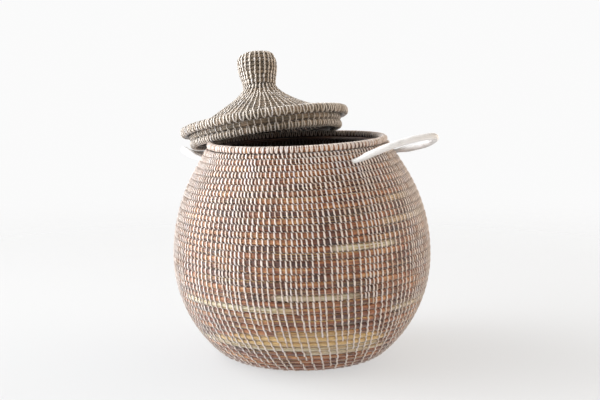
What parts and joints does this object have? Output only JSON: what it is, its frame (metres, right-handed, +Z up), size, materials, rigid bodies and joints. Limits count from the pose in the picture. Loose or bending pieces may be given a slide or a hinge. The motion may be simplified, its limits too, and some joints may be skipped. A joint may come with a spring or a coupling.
{
  "type": "doum palm basket",
  "caption": "Round-bellied storage basket of coiled doum palm with a knobbed lid lying askew on its rim and a leather loop handle on each side.",
  "frame": {"origin": "centre of the foot, on the surface that the basket stands on", "axes": "+Z up through the body; +X out through the right handle, so that the picture looks from +X 60 degrees towards -Y"},
  "size_m": [0.4547, 0.4, 0.4715],
  "materials": {
    "body_palm": "matt dried palm fibre, reddish brown with straw and pale green turns, oversewn with pale palm strips",
    "rim_palm": "matt palm fibre under close white oversewing",
    "lid_palm": "matt grey-green palm fibre with white stitches",
    "lid_edge_palm": "matt palm fibre under close white oversewing",
    "white_leather": "soft satin white leather, creased along the loop",
    "palm_rope": "matt straw-coloured palm rope"
  },
  "bodies": {
    "basket": {"base_coil": "body_palm", "wall_coil": "body_palm", "rim_coil": "rim_palm", "handle_right_root_front": "white_leather", "handle_right_root_back": "white_leather", "handle_left_root_front": "white_leather", "handle_left_root_back": "white_leather"},
    "lid": {"lid_knob": "lid_palm", "lid_crown": "lid_palm", "lid_brim": "lid_edge_palm", "lid_collar_middle": "lid_palm", "lid_collar_edge": "lid_edge_palm"},
    "handle_right": {"handle_right_sleeve": "white_leather", "handle_right_rope": "palm_rope"},
    "handle_left": {"handle_left_sleeve": "white_leather", "handle_left_rope": "palm_rope"}
  },
  "joints": [
    {"name": "lid_lift", "type": "slide", "parent": "basket", "child": "lid", "axis": [0, 0, 1], "range_m": [0, 0.15]},
    {"name": "right_handle_swing", "type": "hinge", "parent": "basket", "child": "handle_right", "pos_m": [0.13595, -0.00346, 0.31919], "axis": [0.0004, -0.9998, -0.0218], "range_deg": [-50, 45]},
    {"name": "left_handle_swing", "type": "hinge", "parent": "basket", "child": "handle_left", "pos_m": [-0.14774, -0.00334, 0.30847], "axis": [-0.0004, 0.9998, 0.0218], "range_deg": [-30, 0]}
  ]
}
